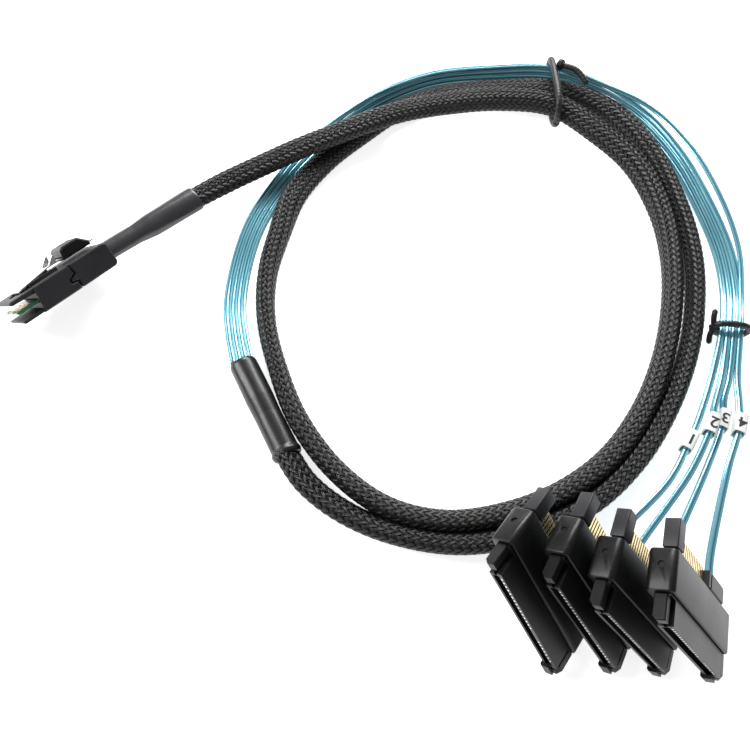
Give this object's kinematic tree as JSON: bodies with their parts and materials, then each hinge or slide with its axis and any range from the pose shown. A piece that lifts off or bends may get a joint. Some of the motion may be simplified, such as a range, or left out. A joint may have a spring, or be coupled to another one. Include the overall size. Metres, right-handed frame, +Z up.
{
  "type": "mini sas breakout cable",
  "caption": "Coiled breakout cable: a latching host plug and a braided sleeve that fans out through flat blue wire pairs to drive connectors with a power port on the back.",
  "frame": {"origin": "On the resting plane, under the middle of the box round the host plug and the drive connectors as they lie", "axes": "+Z up, +X from the host plug's end towards the drive connectors' end, +Y away from the drive connectors, across the coil"},
  "size_m": [0.2491, 0.2302, 0.0372],
  "materials": {
    "plug_housing": "fine-textured black moulding",
    "paddle_card": "green board with gold edge contacts",
    "latch_steel": "bright spring strip",
    "thumb_block": "black moulding",
    "boot_shrink": "glossy dark grey shrink tube",
    "braid": "black woven monofilament braid",
    "breakout_shrink": "satin black shrink tube",
    "wire_film": "glossy translucent blue film",
    "flag": "white sleeve with a plain number",
    "tie": "satin black",
    "block_moulding": "satin to glossy black overmoulding",
    "receptacle": "satin black housing with contacts",
    "power_port": "dark grey plastic with gold blades",
    "wire_exit": "satin black moulding"
  },
  "bodies": {
    "cable": {"plug_front_shell": "plug_housing", "plug_rear_shell": "plug_housing", "plug_paddle_card": "paddle_card", "plug_boot": "boot_shrink", "braided_sleeve": "braid", "breakout_shrink": "breakout_shrink", "wire_1_a": "wire_film", "wire_1_b": "wire_film", "wire_2_a": "wire_film", "wire_2_b": "wire_film", "wire_3_a": "wire_film", "wire_3_b": "wire_film", "wire_4_a": "wire_film", "wire_4_b": "wire_film", "flag_1": "flag", "flag_2": "flag", "flag_3": "flag", "flag_4": "flag", "big_tie": "tie", "small_tie": "tie", "connector_1_block": "block_moulding", "connector_1_receptacle": "receptacle", "connector_1_power_port": "power_port", "connector_1_wire_exit": "wire_exit", "connector_2_block": "block_moulding", "connector_2_receptacle": "receptacle", "connector_2_power_port": "power_port", "connector_2_wire_exit": "wire_exit", "connector_3_block": "block_moulding", "connector_3_receptacle": "receptacle", "connector_3_power_port": "power_port", "connector_3_wire_exit": "wire_exit", "connector_4_block": "block_moulding", "connector_4_receptacle": "receptacle", "connector_4_power_port": "power_port", "connector_4_wire_exit": "wire_exit"},
    "latch": {"latch_strip": "latch_steel", "latch_thumb_block": "thumb_block"}
  },
  "joints": [
    {"name": "latch_press", "type": "hinge", "parent": "cable", "child": "latch", "pos_m": [-0.09966, 0.04382, 0.01632], "axis": [-0.606, 0.4341, -0.6666], "range_deg": [0, 2.4], "stiffness_Nm_per_rad": 0.5}
  ]
}
